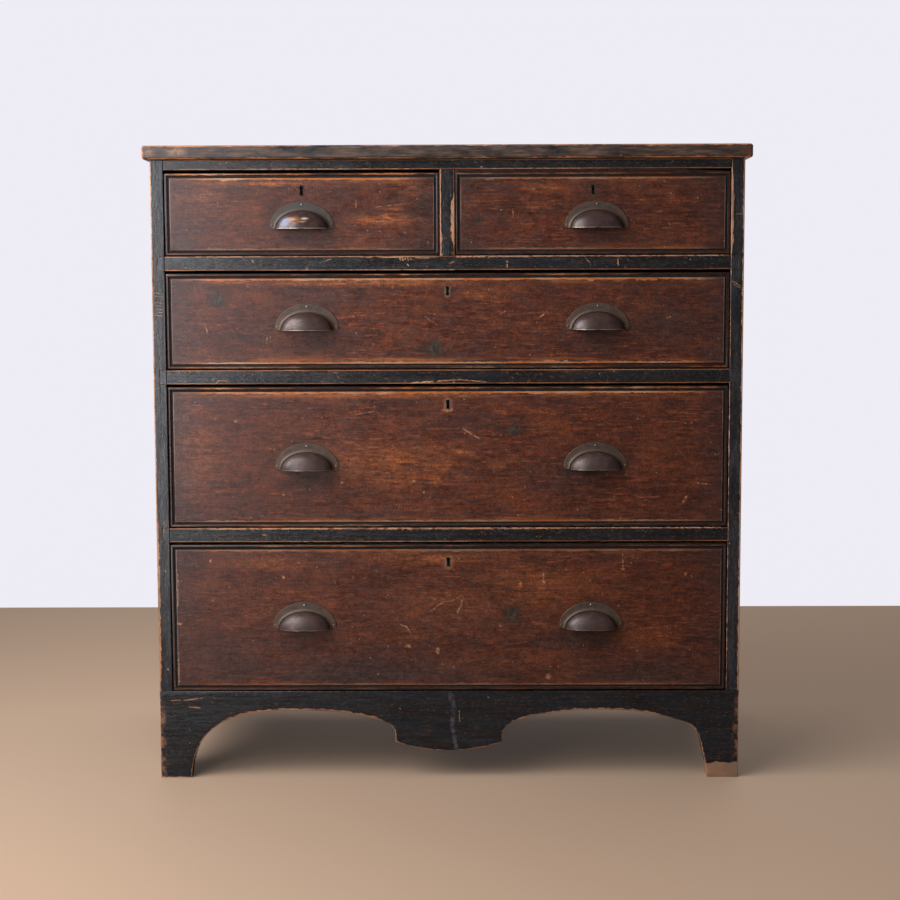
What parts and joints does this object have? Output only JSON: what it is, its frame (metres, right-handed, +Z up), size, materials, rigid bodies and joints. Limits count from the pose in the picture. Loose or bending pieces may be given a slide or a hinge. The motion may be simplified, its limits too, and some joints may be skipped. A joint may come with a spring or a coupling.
{
  "type": "chest of drawers",
  "caption": "Painted pine chest of drawers with small drawers over long ones, cup pulls, locks, and a shaped apron whose ends are the front feet.",
  "frame": {"origin": "on the floor, at the middle of the whole object's width and depth, pulls included", "axes": "+X to the right seen from the front, +Y to the back (the front faces -Y), +Z up"},
  "size_m": [0.914, 0.4672, 0.9685],
  "materials": {
    "black_paint": "blue-black paint on pine, worn to the wood at the edges",
    "stained_pine": "pine stained red-brown and polished, darker at the ends, with a satin sheen",
    "bare_pine": "bare aged pine, matte",
    "bronze": "bronze with a dull brown patina, rubbed brighter on the rims",
    "lock_brass": "aged brass plate",
    "lock_steel": "dark filed steel"
  },
  "bodies": {
    "carcass": {"top_board": "black_paint", "left_side": "black_paint", "right_side": "black_paint", "lower_rail": "black_paint", "middle_rail": "black_paint", "upper_rail": "black_paint", "top_rail": "black_paint", "divider": "black_paint", "apron": "black_paint", "centre_guide": "bare_pine", "bottom_board": "bare_pine", "lower_dust_board": "bare_pine", "middle_dust_board": "bare_pine", "upper_dust_board": "bare_pine", "back_plank_1": "bare_pine", "back_plank_2": "bare_pine", "back_plank_3": "bare_pine"},
    "small_left_drawer": {"small_left_drawer_front": "stained_pine", "small_left_drawer_left_side": "bare_pine", "small_left_drawer_right_side": "bare_pine", "small_left_drawer_back": "bare_pine", "small_left_drawer_bottom": "bare_pine", "small_left_drawer_pull": "bronze", "small_left_drawer_lock_case": "lock_brass"},
    "small_right_drawer": {"small_right_drawer_front": "stained_pine", "small_right_drawer_left_side": "bare_pine", "small_right_drawer_right_side": "bare_pine", "small_right_drawer_back": "bare_pine", "small_right_drawer_bottom": "bare_pine", "small_right_drawer_pull": "bronze", "small_right_drawer_lock_case": "lock_brass"},
    "upper_drawer": {"upper_drawer_front": "stained_pine", "upper_drawer_left_side": "bare_pine", "upper_drawer_right_side": "bare_pine", "upper_drawer_back": "bare_pine", "upper_drawer_bottom": "bare_pine", "upper_drawer_left_pull": "bronze", "upper_drawer_right_pull": "bronze", "upper_drawer_lock_case": "lock_brass"},
    "middle_drawer": {"middle_drawer_front": "stained_pine", "middle_drawer_left_side": "bare_pine", "middle_drawer_right_side": "bare_pine", "middle_drawer_back": "bare_pine", "middle_drawer_bottom": "bare_pine", "middle_drawer_left_pull": "bronze", "middle_drawer_right_pull": "bronze", "middle_drawer_lock_case": "lock_brass"},
    "lower_drawer": {"lower_drawer_front": "stained_pine", "lower_drawer_left_side": "bare_pine", "lower_drawer_right_side": "bare_pine", "lower_drawer_back": "bare_pine", "lower_drawer_bottom": "bare_pine", "lower_drawer_left_pull": "bronze", "lower_drawer_right_pull": "bronze", "lower_drawer_lock_case": "lock_brass"},
    "small_left_bolt": {"small_left_drawer_lock_bolt": "lock_steel"},
    "small_right_bolt": {"small_right_drawer_lock_bolt": "lock_steel"},
    "upper_bolt": {"upper_drawer_lock_bolt": "lock_steel"},
    "middle_bolt": {"middle_drawer_lock_bolt": "lock_steel"},
    "lower_bolt": {"lower_drawer_lock_bolt": "lock_steel"}
  },
  "joints": [
    {"name": "small_left_drawer_slide", "type": "slide", "parent": "carcass", "child": "small_left_drawer", "axis": [0, -1, 0], "range_m": [0, 0.33]},
    {"name": "small_right_drawer_slide", "type": "slide", "parent": "carcass", "child": "small_right_drawer", "axis": [0, -1, 0], "range_m": [0, 0.33]},
    {"name": "upper_drawer_slide", "type": "slide", "parent": "carcass", "child": "upper_drawer", "axis": [0, -1, 0], "range_m": [0, 0.33]},
    {"name": "middle_drawer_slide", "type": "slide", "parent": "carcass", "child": "middle_drawer", "axis": [0, -1, 0], "range_m": [0, 0.33]},
    {"name": "lower_drawer_slide", "type": "slide", "parent": "carcass", "child": "lower_drawer", "axis": [0, -1, 0], "range_m": [0, 0.33]},
    {"name": "small_left_bolt_throw", "type": "slide", "parent": "small_left_drawer", "child": "small_left_bolt", "axis": [0, 0, 1], "range_m": [0, 0.011]},
    {"name": "small_right_bolt_throw", "type": "slide", "parent": "small_right_drawer", "child": "small_right_bolt", "axis": [0, 0, 1], "range_m": [0, 0.011]},
    {"name": "upper_bolt_throw", "type": "slide", "parent": "upper_drawer", "child": "upper_bolt", "axis": [0, 0, 1], "range_m": [0, 0.011]},
    {"name": "middle_bolt_throw", "type": "slide", "parent": "middle_drawer", "child": "middle_bolt", "axis": [0, 0, 1], "range_m": [0, 0.011]},
    {"name": "lower_bolt_throw", "type": "slide", "parent": "lower_drawer", "child": "lower_bolt", "axis": [0, 0, 1], "range_m": [0, 0.011]}
  ]
}
